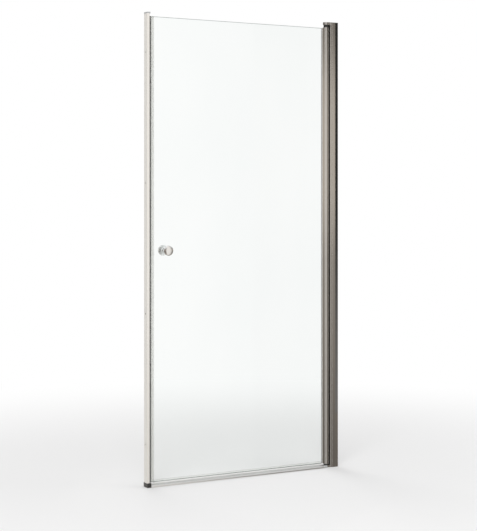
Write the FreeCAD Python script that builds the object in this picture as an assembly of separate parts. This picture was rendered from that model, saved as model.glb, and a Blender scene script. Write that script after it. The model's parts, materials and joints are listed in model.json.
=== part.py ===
import FreeCAD, Part
import math
import os

from FreeCAD import Vector

# A framed pivot shower door, in millimetres.
# X runs across the doorway with the hinge side at +X, Y runs into the shower and Z is up.
# The origin is midway between the wall faces, in the glass's mid-plane, at floor level.

# Doorway
opening_width = 900.0
frame_height = 1900.0
strike_drop = 10.0

# Wall channel on the hinge side
channel_width = 28.5
channel_depth = 34.0
channel_wall = 1.9
channel_web = 1.8
channel_crown = 0.8
channel_cap_thickness = 4.0
channel_cap_tongue = 10.0

# Wall screw holes, the same on both wall profiles
wall_hole_radius = 2.75
wall_hole_end_distance = 170.0
wall_hole_count = 4

# Post that slides in the wall channel
post_showing = 8.1
post_end_room = 3.5
post_wall = 1.6
post_nose_wall = 1.8
post_nose_radius = 3.0
slide_clearance = 0.3

# Slots that hold the roots of the soft seals
slot_neck_width = 2.6
slot_head_width = 6.2
slot_head_depth = 1.8
slot_boss_wall = 1.6
seal_root_clearance = 0.1

# Screws that lock the post in the channel
fixing_screw_count = 3
fixing_screw_radius = 1.75
fixing_screw_length = 11.0
fixing_head_radius = 3.5
fixing_head_height = 2.2
thread_clearance = 0.05

# Pivots
stile_to_post_gap = 2.6
wiper_gap = 0.3
pin_radius = 4.0
pin_engagement = 20.0
pin_running_clearance = 0.05
pin_seat_clearance = 0.02
pin_socket_across_flats = 4.0
pin_socket_depth = 5.0
pin_floor = 1.5
pin_top_recess = 1.2
top_bracket_thickness = 11.0
bottom_bracket_thickness = 9.0
bracket_spigot_length = 30.0
spigot_clearance = 0.2
top_bush_flange = 10.0
bottom_bush_flange = 5.0
bush_flange_radius = 9.5
bush_shank_length = 28.0
bush_flat_wall = 1.3
bush_clearance = 0.15
top_running_gap = 0.3

# Pivot stile of the leaf
barrel_radius = 12.0
barrel_wall = 2.0
barrel_root_radius = 2.5
stile_lip_wall = 2.15
stile_lip_edge_radius = 1.2
stile_pocket_depth = 13.5
stile_web = 2.0
stile_cap_thickness = 4.0

# Glass and its gasket
glass_thickness = 6.0
glass_arris = 0.5
glass_end_relief = 0.5
gasket_wall = 1.0
gasket_bead = 1.6
gasket_bead_radius = 1.0
glass_clearance = 0.05

# Strike side
strike_width = 11.0
strike_depth = 30.0
strike_cover_wall = 1.6
strike_cover_face = 1.8
strike_cover_crown = 0.4
strike_base_wall = 1.5
strike_base_web = 1.8
strike_base_room = 0.8
snap_clearance = 0.3
strike_cap_thickness = 6.0
strike_cap_overhang = 4.5
strike_cap_spigot = 10.0
strike_foot_width = 18.0
strike_foot_gap = 0.6
foot_spigot_length = 12.0
moulded_corner_radius = 3.0
moulded_edge_bevel = 0.8

# Magnetic closing seals
magnet_clearance = 0.05
soft_wall = 0.7
strike_magnet_thickness = 1.5
strike_magnet_width = 8.4
closing_gap = 0.4
edge_magnet_thickness = 6.2
edge_magnet_width = 8.4
clip_wall = 1.1
clip_reach = 13.0
clip_clearance = 0.1

# Drip seal under the glass
drip_wall = 1.0
drip_clip_height = 8.0
drip_gap = 0.5
drip_fin_reach = 7.0
drip_fin_lift = 1.4
drip_end_clearance = 0.5

# Threshold bar
bar_depth = 36.0
bar_height = 9.0
bar_wall = 1.4
bar_edge_height = 2.0
bar_top_width = 20.0
bar_hollow_width = 24.0
bar_nose_bulge = 1.2
bar_end_gap = 2.0
bar_cap_wrap = 10.0
bar_cap_clearance = 0.5
bar_spigot_length = 12.0

# Knobs
knob_from_glass_edge = 66.0
knob_height = 940.0
knob_base_radius = 13.0
knob_base_height = 4.0
knob_neck_radius = 7.0
knob_neck_length = 13.0
knob_head_radius = 21.0
knob_rim_height = 5.0
knob_bevel_height = 7.5
knob_face_radius = 13.5
gasket_flange_thickness = 1.0
gasket_flange_inset = 0.5
sleeve_clearance = 0.1
stud_radius = 3.0
stud_engagement = 18.0
stud_clearance = 0.03
glass_hole_radius = 6.0

# Two points nearer than this are one place
same_place = 1e-4

# Places that follow from the dimensions above
wall_right = opening_width / 2
wall_left = -opening_width / 2
channel_lip_x = wall_right - channel_width
channel_mid_x = wall_right - channel_width / 2
channel_half = channel_depth / 2
channel_inner_half = channel_half - channel_wall
channel_top = frame_height - channel_cap_thickness
post_nose_x = channel_lip_x - post_showing
post_back_x = wall_right - channel_web - post_end_room
post_half = channel_inner_half - slide_clearance
post_bottom = bottom_bracket_thickness
post_top = frame_height - top_bracket_thickness
fixing_hole_radius = fixing_screw_radius + thread_clearance
bracket_end_x = channel_lip_x - slide_clearance
post_cavity_x = post_nose_x + post_nose_wall + slot_head_depth + slot_boss_wall
pivot_x = post_nose_x - stile_to_post_gap - barrel_radius
leaf_bottom = bottom_bracket_thickness + bottom_bush_flange + stile_cap_thickness
leaf_top = post_top - top_running_gap - top_bush_flange - stile_cap_thickness
glass_half = glass_thickness / 2
gasket_half = glass_half + glass_clearance + gasket_wall
bush_bore_radius = pin_radius + pin_running_clearance
stile_chamber_radius = barrel_radius - barrel_wall
stile_chamber_flat = bush_bore_radius + bush_flat_wall + bush_clearance
stile_pocket_x = pivot_x - stile_chamber_flat - stile_web
stile_pocket_half = gasket_half + glass_clearance
stile_lip_x = stile_pocket_x - stile_pocket_depth
stile_lip_half = stile_pocket_half + stile_lip_wall
glass_right = stile_pocket_x - gasket_wall - glass_clearance
strike_face_x = wall_left + strike_width
strike_half = strike_depth / 2
strike_foot_top = leaf_bottom - strike_foot_gap
strike_top = frame_height - strike_drop - strike_cap_thickness
strike_inner_half = strike_half - strike_cover_wall - strike_cover_crown
strike_base_half = strike_inner_half - snap_clearance
strike_base_x = strike_face_x - strike_cover_face - strike_base_room
strike_boss_x = strike_face_x - strike_cover_face - slot_head_depth - slot_boss_wall
strike_sleeve_x = strike_face_x + seal_root_clearance
strike_pocket = strike_magnet_thickness + 2 * magnet_clearance
strike_head_x = strike_sleeve_x + strike_pocket + 2 * soft_wall
edge_head_x = strike_head_x + closing_gap
edge_pocket = edge_magnet_thickness + 2 * magnet_clearance
edge_clip_x = edge_head_x + edge_pocket + 2 * soft_wall
glass_left = edge_clip_x + clip_clearance
edge_clip_end = glass_left + clip_reach
knob_x = glass_left + knob_from_glass_edge
knob_neck_start = gasket_flange_thickness + knob_base_height
knob_rim_start = knob_neck_start + knob_neck_length
knob_bevel_start = knob_rim_start + knob_rim_height
knob_projection = knob_bevel_start + knob_bevel_height
bar_start = wall_left + strike_foot_width
bar_end = pivot_x - barrel_radius - bar_end_gap


def polygon(points):
    """A flat polygon in the XY plane."""
    corners = [Vector(x, y, 0) for x, y in points]
    return Part.Face(Part.makePolygon(corners + corners[:1]))


def upright(face, z0, z1):
    """An extrusion of an XY section from z0 to z1."""
    return face.translated(Vector(0, 0, z0)).extrude(Vector(0, 0, z1 - z0))


def block(x0, x1, y0, y1, z0, z1):
    """A rectangular block between two corners."""
    return Part.makeBox(x1 - x0, y1 - y0, z1 - z0, Vector(x0, y0, z0))


def rod_along_z(x, y, radius, z0, z1):
    """A round bar along Z."""
    return Part.makeCylinder(radius, z1 - z0, Vector(x, y, z0), Vector(0, 0, 1))


def rod_along_y(x, z, radius, y0, y1):
    """A round bar along Y."""
    return Part.makeCylinder(radius, y1 - y0, Vector(x, y0, z), Vector(0, 1, 0))


def rod_along_x(z, radius, x0, x1):
    """A round bar along X, in the glass's mid-plane."""
    return Part.makeCylinder(radius, x1 - x0, Vector(x0, 0, z), Vector(1, 0, 0))


def line(a, b):
    return Part.LineSegment(a, b).toShape()


def arc(a, middle, b):
    return Part.Arc(a, middle, b).toShape()


def upright_edges(shape, places):
    """The edges along Z that stand at the given XY places."""
    found = []
    for edge in shape.Edges:
        ends = [v.Point for v in edge.Vertexes]
        if len(ends) != 2 or abs(ends[0].z - ends[1].z) < same_place:
            continue
        for x, y in places:
            if all(math.hypot(p.x - x, p.y - y) < same_place for p in ends):
                found.append(edge)
    return found


def free_rim(shape, z, joined_x):
    """The edges of a flat end at height z, apart from those where the piece meets the plane joined_x."""
    rim = []
    for edge in shape.Edges:
        box = edge.BoundBox
        level = max(abs(box.ZMin - z), abs(box.ZMax - z)) < same_place
        joined = max(abs(box.XMin - joined_x), abs(box.XMax - joined_x)) < same_place
        if level and not joined:
            rim.append(edge)
    return rim


def one_solid(shape):
    """The single solid of a finished piece, with needless seams removed."""
    clean = shape.removeSplitter()
    if len(clean.Solids) != 1:
        raise ValueError(f"a piece came out as {len(clean.Solids)} solids")
    return clean.Solids[0]


def crowned_section(x_wall, x_lip, half, crown):
    """A wall profile's outline: flat at both ends, with faintly bowed front and back faces."""
    edge = half - crown
    middle = (x_wall + x_lip) / 2
    front = [Vector(x_lip, -edge, 0), Vector(middle, -half, 0), Vector(x_wall, -edge, 0)]
    back = [Vector(x_wall, edge, 0), Vector(middle, half, 0), Vector(x_lip, edge, 0)]
    edges = [arc(*front), line(front[2], back[0]), arc(*back), line(back[2], front[0])]
    return Part.Face(Part.Wire(edges))


def even_places(first, last, count):
    """Evenly spaced places from the first to the last."""
    return [first + (last - first) * i / (count - 1) for i in range(count)]


def wall_hole_heights():
    """Heights of the wall screw holes."""
    return even_places(wall_hole_end_distance, frame_height - wall_hole_end_distance, wall_hole_count)


def fixing_screw_heights():
    """Heights of the locking screws: the end ones also hold the pivot brackets' spigots."""
    first = post_bottom + bracket_spigot_length / 2
    last = post_top - bracket_spigot_length / 2
    return even_places(first, last, fixing_screw_count)


def span(a, b, half, z0, z1):
    """A block between two X places in either order, centred on the glass's mid-plane."""
    return block(min(a, b), max(a, b), -half, half, z0, z1)


def seal_slot(x_face, wall, z0, z1):
    """The T-shaped slot of a seal. The wall that its neck passes is positive towards +X."""
    neck_end = x_face + wall
    head_end = neck_end + math.copysign(slot_head_depth, wall)
    neck = span(x_face, neck_end, slot_neck_width / 2, z0, z1)
    return neck.fuse(span(neck_end, head_end, slot_head_width / 2, z0, z1))


def seal_root(x_face, wall, z0, z1):
    """The T-shaped root of a seal, a little smaller than its slot."""
    step = math.copysign(seal_root_clearance, wall)
    neck_end = x_face + wall + step
    head_end = x_face + wall + math.copysign(slot_head_depth, wall) - step
    neck_half = slot_neck_width / 2 - seal_root_clearance
    head_half = slot_head_width / 2 - seal_root_clearance
    neck = span(x_face - step, neck_end, neck_half, z0, z1)
    return neck.fuse(span(neck_end, head_end, head_half, z0, z1))


def channel_outline():
    """The outline of the wall channel, seen from above."""
    return crowned_section(wall_right, channel_lip_x, channel_half, channel_crown)


def make_hinge_wall_channel():
    web_x = wall_right - channel_web
    channel = upright(channel_outline(), 0, channel_top)
    channel = channel.cut(span(channel_lip_x, web_x, channel_inner_half, 0, channel_top))
    for z in wall_hole_heights():
        channel = channel.cut(rod_along_x(z, wall_hole_radius, web_x, wall_right))
    for z in fixing_screw_heights():
        channel = channel.cut(rod_along_y(channel_mid_x, z, fixing_hole_radius, 0, channel_half))
    return one_solid(channel)


def make_channel_top_cap():
    plate = upright(channel_outline(), channel_top, frame_height)
    plate = plate.makeChamfer(moulded_edge_bevel, free_rim(plate, frame_height, wall_right))
    x0 = post_back_x + slide_clearance
    x1 = wall_right - channel_web - slide_clearance
    tongue = span(x0, x1, post_half, channel_top - channel_cap_tongue, channel_top)
    return one_solid(plate.fuse(tongue))


def make_hinge_post():
    outer = span(post_nose_x, post_back_x, post_half, post_bottom, post_top)
    nose = [(post_nose_x, -post_half), (post_nose_x, post_half)]
    outer = outer.makeFillet(post_nose_radius, upright_edges(outer, nose))
    inner_half = post_half - post_wall
    front_x = post_nose_x + post_nose_wall
    boss_half = slot_head_width / 2 + slot_boss_wall
    cavity = span(front_x, post_back_x - post_wall, inner_half, post_bottom, post_top)
    boss = span(front_x, post_cavity_x, boss_half, post_bottom, post_top)
    post = outer.cut(cavity.cut(boss))
    post = post.cut(seal_slot(post_nose_x, post_nose_wall, post_bottom, post_top))
    for z in fixing_screw_heights():
        post = post.cut(rod_along_y(channel_mid_x, z, fixing_hole_radius, inner_half, post_half))
    return one_solid(post)


def make_hinge_wiper_seal():
    root = seal_root(post_nose_x, post_nose_wall, post_bottom, post_top)
    back_x = post_nose_x - seal_root_clearance
    tip_x = pivot_x + barrel_radius + wiper_gap
    half = slot_head_width / 2
    ends = [Vector(back_x, -half, 0), Vector(back_x, half, 0)]
    bulb = Part.Face(Part.Wire([arc(ends[0], Vector(tip_x, 0, 0), ends[1]), line(ends[1], ends[0])]))
    return one_solid(root.fuse(upright(bulb, post_bottom, post_top)))


def bracket_tongue(z0, z1):
    """The round-ended tongue of a pivot bracket."""
    tongue = rod_along_z(pivot_x, 0, barrel_radius, z0, z1)
    return tongue.fuse(span(pivot_x, bracket_end_x, barrel_radius, z0, z1)).removeSplitter()


def bracket_shoulder(z0, z1):
    """The wider part of a pivot bracket, with the outline of the post's nose."""
    shoulder = span(post_nose_x, bracket_end_x, post_half, z0, z1)
    front = [(post_nose_x, -post_half), (post_nose_x, post_half)]
    return shoulder.makeFillet(post_nose_radius, upright_edges(shoulder, front))


def bracket_spigot(z0, z1):
    """The block of a pivot bracket that plugs into the post."""
    x0 = post_cavity_x + spigot_clearance
    x1 = post_back_x - post_wall - spigot_clearance
    return span(x0, x1, post_half - post_wall - spigot_clearance, z0, z1)


def finished_bracket(solids, pin_z0, pin_z1, screw_z):
    """A pivot bracket in one piece, with its pin's seat and the threaded hole of its locking screw."""
    shape = solids[0].multiFuse(solids[1:])
    shape = shape.cut(rod_along_z(pivot_x, 0, pin_radius + pin_seat_clearance, pin_z0, pin_z1))
    hole_end = channel_half - fixing_screw_length - thread_clearance
    hole = rod_along_y(channel_mid_x, screw_z, fixing_hole_radius, hole_end, channel_half)
    return one_solid(shape.cut(hole))


def make_top_pivot_bracket():
    tongue = bracket_tongue(post_top, frame_height)
    shoulder = bracket_shoulder(post_top, frame_height)
    head = span(bracket_end_x, post_back_x, post_half, post_top, channel_top - slide_clearance)
    spigot = bracket_spigot(post_top - bracket_spigot_length, post_top)
    screw_z = fixing_screw_heights()[-1]
    return finished_bracket([tongue, shoulder, head, spigot], post_top, frame_height, screw_z)


def make_bottom_pivot_bracket():
    tongue = bracket_tongue(0, post_bottom)
    shoulder = bracket_shoulder(0, post_bottom)
    head = span(bracket_end_x, post_back_x, post_half, 0, post_bottom)
    spigot = bracket_spigot(post_bottom, post_bottom + bracket_spigot_length)
    screw_z = fixing_screw_heights()[0]
    return finished_bracket([tongue, shoulder, head, spigot], pin_floor, post_bottom, screw_z)


def make_pivot_pins():
    """The pins that are pressed into the brackets: the top one has a hexagon socket to lift it out."""
    low_top = leaf_bottom - stile_cap_thickness + pin_engagement
    low = rod_along_z(pivot_x, 0, pin_radius, pin_floor, low_top)
    high_bottom = leaf_top + stile_cap_thickness - pin_engagement
    high_top = frame_height - pin_top_recess
    high = rod_along_z(pivot_x, 0, pin_radius, high_bottom, high_top)
    corner = pin_socket_across_flats / math.sqrt(3)
    angles = [math.radians(60 * i) for i in range(6)]
    hexagon = polygon([(pivot_x + corner * math.cos(a), corner * math.sin(a)) for a in angles])
    socket = upright(hexagon, high_top - pin_socket_depth, high_top)
    return Part.makeCompound([low, one_solid(high.cut(socket))])


def make_post_fixing_screws():
    tip_y = channel_half - fixing_screw_length
    head_y = channel_half + fixing_head_height
    screws = []
    for z in fixing_screw_heights():
        shank = rod_along_y(channel_mid_x, z, fixing_screw_radius, tip_y, channel_half)
        head = rod_along_y(channel_mid_x, z, fixing_head_radius, channel_half, head_y)
        screws.append(one_solid(shank.fuse(head)))
    return Part.makeCompound(screws)


def make_hinge_stile():
    barrel = rod_along_z(pivot_x, 0, barrel_radius, leaf_bottom, leaf_top)
    lips = span(stile_lip_x, pivot_x, stile_lip_half, leaf_bottom, leaf_top)
    stile = barrel.fuse(lips).removeSplitter()
    root_x = pivot_x - math.sqrt(barrel_radius**2 - stile_lip_half**2)
    roots = [(root_x, -stile_lip_half), (root_x, stile_lip_half)]
    stile = stile.makeFillet(barrel_root_radius, upright_edges(stile, roots))
    corners = [(stile_lip_x, -stile_lip_half), (stile_lip_x, stile_lip_half)]
    stile = stile.makeFillet(stile_lip_edge_radius, upright_edges(stile, corners))
    pocket = span(stile_lip_x, stile_pocket_x, stile_pocket_half, leaf_bottom, leaf_top)
    chamber = chamber_bar(0, leaf_bottom, leaf_top)
    return one_solid(stile.cut(pocket).cut(chamber))


def chamber_bar(clearance, z0, z1):
    """The D-shaped bar that fills the stile's hollow, less a clearance all round."""
    radius = stile_chamber_radius - clearance
    flat_x = pivot_x - stile_chamber_flat + clearance
    bar = rod_along_z(pivot_x, 0, radius, z0, z1)
    return bar.common(span(flat_x, pivot_x + radius, radius, z0, z1))


def make_stile_end_caps():
    """Discs that close both ends of the stile's barrel, with a D-shaped hole for the bush."""
    caps = []
    for z0 in (leaf_bottom - stile_cap_thickness, leaf_top):
        z1 = z0 + stile_cap_thickness
        disc = rod_along_z(pivot_x, 0, barrel_radius, z0, z1)
        caps.append(one_solid(disc.cut(chamber_bar(0, z0, z1))))
    return Part.makeCompound(caps)


def pivot_bush(flange_z0, flange_z1, shank_z0, shank_z1):
    """A flanged bearing bush, with a D-shaped shank that can't turn in the stile."""
    flange = rod_along_z(pivot_x, 0, bush_flange_radius, flange_z0, flange_z1)
    shank = chamber_bar(bush_clearance, shank_z0, shank_z1)
    bottom = min(flange_z0, shank_z0)
    top = max(flange_z1, shank_z1)
    return one_solid(flange.fuse(shank).cut(rod_along_z(pivot_x, 0, bush_bore_radius, bottom, top)))


def make_pivot_bushes():
    low_seat = leaf_bottom - stile_cap_thickness
    high_seat = leaf_top + stile_cap_thickness
    low = pivot_bush(low_seat - bottom_bush_flange, low_seat, low_seat, low_seat + bush_shank_length)
    high = pivot_bush(high_seat, high_seat + top_bush_flange, high_seat - bush_shank_length, high_seat)
    return Part.makeCompound([low, high])


def make_door_glass():
    bottom = leaf_bottom + glass_end_relief
    top = leaf_top - glass_end_relief
    glass = span(glass_left, glass_right, glass_half, bottom, top)
    glass = glass.makeChamfer(glass_arris, glass.Edges)
    return one_solid(glass.cut(knob_rod(glass_hole_radius, -glass_half, glass_half)))


def make_glazing_gasket():
    inner = glass_half + glass_clearance
    u_bar = span(stile_lip_x, stile_pocket_x, gasket_half, leaf_bottom, leaf_top)
    bead_half = gasket_half + stile_lip_wall / 2
    bead_x = stile_lip_x - gasket_bead
    bead = span(bead_x, stile_lip_x, bead_half, leaf_bottom, leaf_top)
    fronts = [(bead_x, -bead_half), (bead_x, bead_half)]
    bead = bead.makeFillet(gasket_bead_radius, upright_edges(bead, fronts))
    gap = span(bead_x, stile_pocket_x - gasket_wall, inner, leaf_bottom, leaf_top)
    return one_solid(u_bar.fuse(bead).cut(gap))


def make_strike_wall_profile():
    inner_half = strike_base_half - strike_base_wall
    web_x = wall_left + strike_base_web
    outer = span(wall_left, strike_base_x, strike_base_half, strike_foot_top, strike_top)
    profile = outer.cut(span(web_x, strike_base_x, inner_half, strike_foot_top, strike_top))
    for z in wall_hole_heights():
        profile = profile.cut(rod_along_x(z, wall_hole_radius, wall_left, web_x))
    return one_solid(profile)


def make_strike_cover():
    section = crowned_section(wall_left, strike_face_x, strike_half, strike_cover_crown)
    outer = upright(section, strike_foot_top, strike_top)
    inner_x = strike_face_x - strike_cover_face
    boss_half = slot_head_width / 2 + slot_boss_wall
    cavity = span(wall_left, inner_x, strike_inner_half, strike_foot_top, strike_top)
    boss = span(strike_boss_x, inner_x, boss_half, strike_foot_top, strike_top)
    cover = outer.cut(cavity.cut(boss))
    slot = seal_slot(strike_face_x, -strike_cover_face, strike_foot_top, strike_top)
    return one_solid(cover.cut(slot))


def make_strike_magnet_sleeve():
    root = seal_root(strike_face_x, -strike_cover_face, strike_foot_top, strike_top)
    inside_half = strike_magnet_width / 2 + magnet_clearance
    head = span(strike_sleeve_x, strike_head_x, inside_half + soft_wall, strike_foot_top, strike_top)
    inside_x = strike_sleeve_x + soft_wall
    inside = span(inside_x, inside_x + strike_pocket, inside_half, strike_foot_top, strike_top)
    return one_solid(root.fuse(head).cut(inside))


def make_strike_magnet():
    x0 = strike_sleeve_x + soft_wall + magnet_clearance
    x1 = x0 + strike_magnet_thickness
    return span(x0, x1, strike_magnet_width / 2, strike_foot_top, strike_top)


def strike_locator(z0, z1):
    """The block that fills the wall profile's groove behind the cover's slot boss."""
    x0 = wall_left + strike_base_web + spigot_clearance
    half = strike_base_half - strike_base_wall - spigot_clearance
    return span(x0, strike_boss_x - spigot_clearance, half, z0, z1)


def moulded_block(x1, half, z0, z1):
    """A moulded block on the strike side's wall, with round corners and a bevelled top rim."""
    body = span(wall_left, x1, half, z0, z1)
    body = body.makeFillet(moulded_corner_radius, upright_edges(body, [(x1, -half), (x1, half)]))
    return body.makeChamfer(moulded_edge_bevel, free_rim(body, z1, wall_left))


def make_strike_top_cap():
    cap_top = strike_top + strike_cap_thickness
    plate = moulded_block(strike_face_x + strike_cap_overhang, strike_half, strike_top, cap_top)
    return one_solid(plate.fuse(strike_locator(strike_top - strike_cap_spigot, strike_top)))


def make_strike_foot():
    body = moulded_block(bar_start, bar_depth / 2, 0, strike_foot_top)
    locator = strike_locator(strike_foot_top, strike_foot_top + strike_cap_spigot)
    spigot = bar_filler(bar_start - moulded_corner_radius, bar_start + foot_spigot_length)
    return one_solid(body.fuse(locator).fuse(spigot))


def bar_face(x):
    """The threshold bar's section: a flat top that rolls over to low front and back edges."""
    half = bar_depth / 2
    top_half = bar_top_width / 2
    middle_y = (half + top_half) / 2 + bar_nose_bulge
    middle_z = (bar_edge_height + bar_height) / 2 + bar_nose_bulge
    front_edge = Vector(x, -half, bar_edge_height)
    front_top = Vector(x, -top_half, bar_height)
    back_top = Vector(x, top_half, bar_height)
    back_edge = Vector(x, half, bar_edge_height)
    back_foot = Vector(x, half, 0)
    front_foot = Vector(x, -half, 0)
    edges = [
        arc(front_edge, Vector(x, -middle_y, middle_z), front_top),
        line(front_top, back_top),
        arc(back_top, Vector(x, middle_y, middle_z), back_edge),
        line(back_edge, back_foot),
        line(back_foot, front_foot),
        line(front_foot, front_edge),
    ]
    return Part.Face(Part.Wire(edges))


def bar_hollow(x0, x1, clearance):
    """The hollow of the threshold bar between two ends, less a clearance."""
    half = bar_hollow_width / 2 - clearance
    return span(x0, x1, half, bar_wall + clearance, bar_height - bar_wall - clearance)


def bar_filler(x0, x1):
    """A spigot that plugs into the threshold bar."""
    return bar_hollow(x0, x1, spigot_clearance)


def make_threshold_bar():
    bar = bar_face(bar_start).extrude(Vector(bar_end - bar_start, 0, 0))
    return one_solid(bar.cut(bar_hollow(bar_start, bar_end, 0)))


def make_threshold_end_cap():
    length = bar_end_gap + bar_cap_wrap
    cap = bar_face(bar_end).extrude(Vector(length, 0, 0))
    cap = cap.cut(rod_along_z(pivot_x, 0, barrel_radius + bar_cap_clearance, 0, bar_height))
    return one_solid(cap.fuse(bar_filler(bar_end - bar_spigot_length, bar_end)))


def make_edge_seal():
    inside_half = edge_magnet_width / 2 + magnet_clearance
    head = span(edge_head_x, edge_clip_x, inside_half + soft_wall, leaf_bottom, leaf_top)
    inside_x = edge_head_x + soft_wall
    inside = span(inside_x, inside_x + edge_pocket, inside_half, leaf_bottom, leaf_top)
    inner = glass_half + clip_clearance
    outer = inner + clip_wall
    jaws = span(edge_clip_x - soft_wall, edge_clip_end, outer, leaf_bottom, leaf_top)
    tips = [(edge_clip_end, -outer), (edge_clip_end, outer)]
    jaws = jaws.makeFillet(clip_wall / 2, upright_edges(jaws, tips))
    mouth = span(edge_clip_x, edge_clip_end, inner, leaf_bottom, leaf_top)
    return one_solid(head.fuse(jaws).cut(inside).cut(mouth))


def make_edge_magnet():
    x0 = edge_head_x + soft_wall + magnet_clearance
    x1 = x0 + edge_magnet_thickness
    return span(x0, x1, edge_magnet_width / 2, leaf_bottom, leaf_top)


def make_drip_seal():
    x0 = edge_clip_end + drip_end_clearance
    x1 = stile_lip_x - gasket_bead - drip_end_clearance
    inner = glass_half + clip_clearance
    outer = inner + drip_wall
    floor = leaf_bottom + glass_end_relief - clip_clearance
    clip_top = floor + drip_clip_height
    fin_bottom = bar_height + drip_gap
    fin_top = floor - drip_wall
    jaws = span(x0, x1, outer, fin_top, clip_top).cut(span(x0, x1, inner, floor, clip_top))
    fin = span(x0, x1, drip_wall / 2, fin_bottom, fin_top)
    heel = Vector(x0, inner, floor)
    root = Vector(x0, outer, floor)
    tip = Vector(x0, outer + drip_fin_reach, fin_bottom + drip_fin_lift + drip_wall)
    below = Vector(0, 0, -drip_wall)
    corners = [heel, root, tip, tip + below, root + below, heel + below]
    deflector = Part.Face(Part.makePolygon(corners + corners[:1])).extrude(Vector(x1 - x0, 0, 0))
    return one_solid(jaws.fuse(fin).fuse(deflector))


def knob_rod(radius, y0, y1):
    """A round bar on the knobs' common axis."""
    return rod_along_y(knob_x, knob_height, radius, min(y0, y1), max(y0, y1))


def knob(side):
    """One mushroom knob, turned about the stud's axis, on the side of the glass that Y's sign gives."""
    outline = [
        (gasket_flange_thickness, 0),
        (gasket_flange_thickness, knob_base_radius),
        (knob_neck_start, knob_base_radius),
        (knob_neck_start, knob_neck_radius),
        (knob_rim_start, knob_neck_radius),
        (knob_rim_start, knob_head_radius),
        (knob_bevel_start, knob_head_radius),
        (knob_projection, knob_face_radius),
        (knob_projection, 0),
    ]
    corners = [Vector(knob_x + r, side * (glass_half + t), knob_height) for t, r in outline]
    profile = Part.Face(Part.makePolygon(corners + corners[:1]))
    body = profile.revolve(Vector(knob_x, 0, knob_height), Vector(0, 1, 0), 360)
    socket = knob_rod(stud_radius + stud_clearance, 0, side * (glass_half + stud_engagement))
    return one_solid(body.cut(socket))


def make_door_knobs():
    return Part.makeCompound([knob(-1), knob(1)])


def make_knob_stud():
    reach = glass_half + stud_engagement
    return knob_rod(stud_radius, -reach, reach)


def make_knob_gaskets():
    """The seats of both knobs on the glass: the outer one has a sleeve that lines the glass's hole."""
    outer_end = glass_half + gasket_flange_thickness
    flange_radius = knob_base_radius - gasket_flange_inset
    sleeve = knob_rod(glass_hole_radius - sleeve_clearance, -glass_half, glass_half - sleeve_clearance)
    shouldered = knob_rod(flange_radius, -outer_end, -glass_half).fuse(sleeve)
    plain = knob_rod(flange_radius, glass_half, outer_end)
    bore = knob_rod(stud_radius + sleeve_clearance, -outer_end, outer_end)
    return Part.makeCompound([one_solid(shouldered.cut(bore)), one_solid(plain.cut(bore))])


pieces = {
    "hinge_wall_channel": make_hinge_wall_channel,
    "channel_top_cap": make_channel_top_cap,
    "hinge_post": make_hinge_post,
    "hinge_wiper_seal": make_hinge_wiper_seal,
    "top_pivot_bracket": make_top_pivot_bracket,
    "bottom_pivot_bracket": make_bottom_pivot_bracket,
    "pivot_pins": make_pivot_pins,
    "post_fixing_screws": make_post_fixing_screws,
    "strike_wall_profile": make_strike_wall_profile,
    "strike_cover": make_strike_cover,
    "strike_magnet_sleeve": make_strike_magnet_sleeve,
    "strike_magnet": make_strike_magnet,
    "strike_top_cap": make_strike_top_cap,
    "strike_foot": make_strike_foot,
    "threshold_bar": make_threshold_bar,
    "threshold_end_cap": make_threshold_end_cap,
    "door_glass": make_door_glass,
    "hinge_stile": make_hinge_stile,
    "glazing_gasket": make_glazing_gasket,
    "stile_end_caps": make_stile_end_caps,
    "pivot_bushes": make_pivot_bushes,
    "edge_seal": make_edge_seal,
    "edge_magnet": make_edge_magnet,
    "drip_seal": make_drip_seal,
    "door_knobs": make_door_knobs,
    "knob_stud": make_knob_stud,
    "knob_gaskets": make_knob_gaskets,
}

os.makedirs("parts", exist_ok=True)
for name, make in pieces.items():
    make().exportStep(f"parts/{name}.step")
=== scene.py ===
import json
import math

import bmesh
import bpy
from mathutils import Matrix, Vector


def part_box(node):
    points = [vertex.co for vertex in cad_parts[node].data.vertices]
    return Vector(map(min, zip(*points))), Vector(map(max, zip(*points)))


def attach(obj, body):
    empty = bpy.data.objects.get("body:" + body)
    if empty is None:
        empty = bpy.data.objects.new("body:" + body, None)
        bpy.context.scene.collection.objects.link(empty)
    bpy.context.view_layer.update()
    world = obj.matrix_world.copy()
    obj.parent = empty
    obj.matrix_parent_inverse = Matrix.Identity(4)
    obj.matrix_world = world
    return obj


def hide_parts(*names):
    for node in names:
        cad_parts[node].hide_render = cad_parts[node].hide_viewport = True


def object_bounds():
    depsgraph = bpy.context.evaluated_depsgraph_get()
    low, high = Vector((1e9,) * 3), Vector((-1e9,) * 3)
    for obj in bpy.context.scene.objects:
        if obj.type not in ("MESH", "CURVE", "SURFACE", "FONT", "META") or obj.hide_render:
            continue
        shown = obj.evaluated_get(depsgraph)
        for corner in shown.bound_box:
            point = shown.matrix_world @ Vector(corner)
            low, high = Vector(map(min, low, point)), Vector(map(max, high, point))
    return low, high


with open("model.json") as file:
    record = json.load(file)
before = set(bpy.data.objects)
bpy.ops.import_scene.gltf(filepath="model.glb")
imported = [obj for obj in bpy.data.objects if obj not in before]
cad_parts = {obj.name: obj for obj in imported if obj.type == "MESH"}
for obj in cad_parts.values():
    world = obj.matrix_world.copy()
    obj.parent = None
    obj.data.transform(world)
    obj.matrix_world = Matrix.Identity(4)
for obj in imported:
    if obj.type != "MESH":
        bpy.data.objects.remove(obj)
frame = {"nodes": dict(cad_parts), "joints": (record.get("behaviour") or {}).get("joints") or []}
cad_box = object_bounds()

# A framed pivot shower door, in metres. X runs to the hinge side, Y into the shower, Z up.
mm = 0.001
fixed = "frame"
leaf = "door_leaf"

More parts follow.
